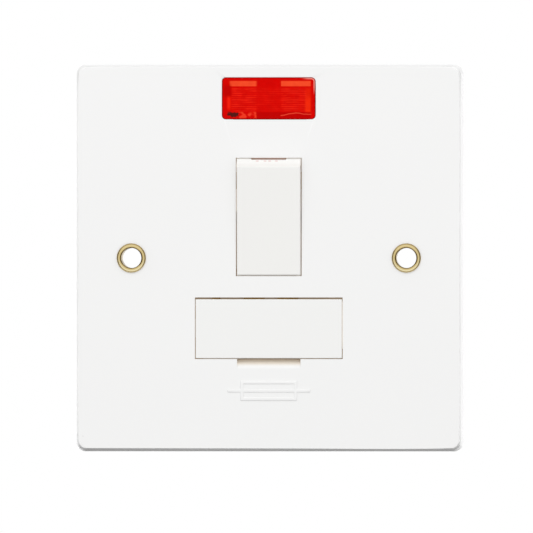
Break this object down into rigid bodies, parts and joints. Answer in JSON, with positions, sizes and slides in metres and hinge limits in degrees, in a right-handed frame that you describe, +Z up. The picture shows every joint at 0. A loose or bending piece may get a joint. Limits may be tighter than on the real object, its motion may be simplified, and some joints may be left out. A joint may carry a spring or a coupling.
{
  "type": "fused spur unit",
  "caption": "Square white wall plate with a rocker switch, a pull-out cartridge fuse carrier and a red neon window, with its terminal housing behind.",
  "frame": {"origin": "Midway between the two fixing holes, in the wall plane where the plate's rear rim ends.", "axes": "+Z up, +X to the right seen from the front, +Y into the wall; the front faces -Y."},
  "size_m": [0.085, 0.0267, 0.085],
  "materials": {
    "plate_moulding": "smooth white moulding with a soft gloss",
    "housing_moulding": "matt white moulding",
    "rocker_moulding": "smooth white moulding, a shade darker than the plate",
    "carrier_moulding": "smooth white moulding",
    "red_lens": "clear red, polished outside, prisms inside",
    "lamp_glass": "clear glass",
    "resistor_coat": "lacquered ceramic",
    "lead_sleeve": "thin soft sleeve",
    "bush_brass": "turned and rolled, bright",
    "strip_brass": "stamped sheet",
    "block_brass": "drawn bar, drilled",
    "clamp_screw_brass": "turned, slotted",
    "screw_steel": "zinc plated",
    "plunger_plastic": "nylon",
    "spring_wire": "drawn wire",
    "lever_copper": "stamped copper alloy",
    "clip_brass": "spring sheet",
    "fuse_ceramic": "fine unglazed ceramic",
    "fuse_cap_metal": "plated brass"
  },
  "bodies": {
    "frame": {"earth_left_screw": "clamp_screw_brass", "earth_left_terminal": "block_brass", "earth_right_screw": "clamp_screw_brass", "earth_right_terminal": "block_brass", "earth_strap": "strip_brass", "faceplate": "plate_moulding", "fixing_bush_left": "bush_brass", "fixing_bush_right": "bush_brass", "fuse_clip_left": "clip_brass", "fuse_clip_right": "clip_brass", "housing_screw_1": "screw_steel", "housing_screw_2": "screw_steel", "housing_screw_3": "screw_steel", "lamp_lead_lower": "lead_sleeve", "lamp_lead_upper": "lead_sleeve", "lamp_resistor": "resistor_coat", "line_lead": "lead_sleeve", "load_line_screw": "clamp_screw_brass", "load_line_strip": "strip_brass", "load_line_terminal": "block_brass", "load_neutral_screw": "clamp_screw_brass", "load_neutral_terminal": "block_brass", "neon_lamp": "lamp_glass", "neon_lens": "red_lens", "rear_housing": "housing_moulding", "supply_line_screw": "clamp_screw_brass", "supply_line_strip": "strip_brass", "supply_line_terminal": "block_brass", "supply_neutral_screw": "clamp_screw_brass", "supply_neutral_strip": "strip_brass", "supply_neutral_terminal": "block_brass", "switched_line_strip": "strip_brass", "switched_neutral_strip": "strip_brass"},
    "rocker": {"rocker": "rocker_moulding", "line_plunger_spring": "spring_wire", "neutral_plunger_spring": "spring_wire"},
    "line_plunger": {"line_plunger": "plunger_plastic"},
    "neutral_plunger": {"neutral_plunger": "plunger_plastic"},
    "line_lever": {"line_contact_lever": "lever_copper"},
    "neutral_lever": {"neutral_contact_lever": "lever_copper"},
    "fuse_drawer": {"fuse_carrier": "carrier_moulding", "fuse_body": "fuse_ceramic", "fuse_cap_left": "fuse_cap_metal", "fuse_cap_right": "fuse_cap_metal"}
  },
  "joints": [
    {"name": "rocker_tilt", "type": "hinge", "parent": "frame", "child": "rocker", "pos_m": [0, -0.001, 0.009], "axis": [-1, 0, 0], "range_deg": [0, 10]},
    {"name": "line_lever_tilt", "type": "hinge", "parent": "frame", "child": "line_lever", "pos_m": [0.0036, 0.0068, 0.009], "axis": [1, 0, 0], "range_deg": [0, 14]},
    {"name": "neutral_lever_tilt", "type": "hinge", "parent": "frame", "child": "neutral_lever", "pos_m": [-0.0036, 0.0068, 0.009], "axis": [1, 0, 0], "range_deg": [0, 14]},
    {"name": "line_plunger_slide", "type": "slide", "parent": "rocker", "child": "line_plunger", "axis": [0, -0.9962, -0.0872], "range_m": [0, 0.0005], "stiffness_N_per_m": 300, "springref_m": -0.001},
    {"name": "neutral_plunger_slide", "type": "slide", "parent": "rocker", "child": "neutral_plunger", "axis": [0, -0.9962, -0.0872], "range_m": [0, 0.0005], "stiffness_N_per_m": 300, "springref_m": -0.001},
    {"name": "fuse_drawer_slide", "type": "slide", "parent": "frame", "child": "fuse_drawer", "axis": [0, -1, 0], "range_m": [0, 0.014]}
  ],
  "couplings": [
    {"joint": "line_lever_tilt", "follows": "rocker_tilt", "ratio": 1.4},
    {"joint": "neutral_lever_tilt", "follows": "rocker_tilt", "ratio": 1.4}
  ]
}
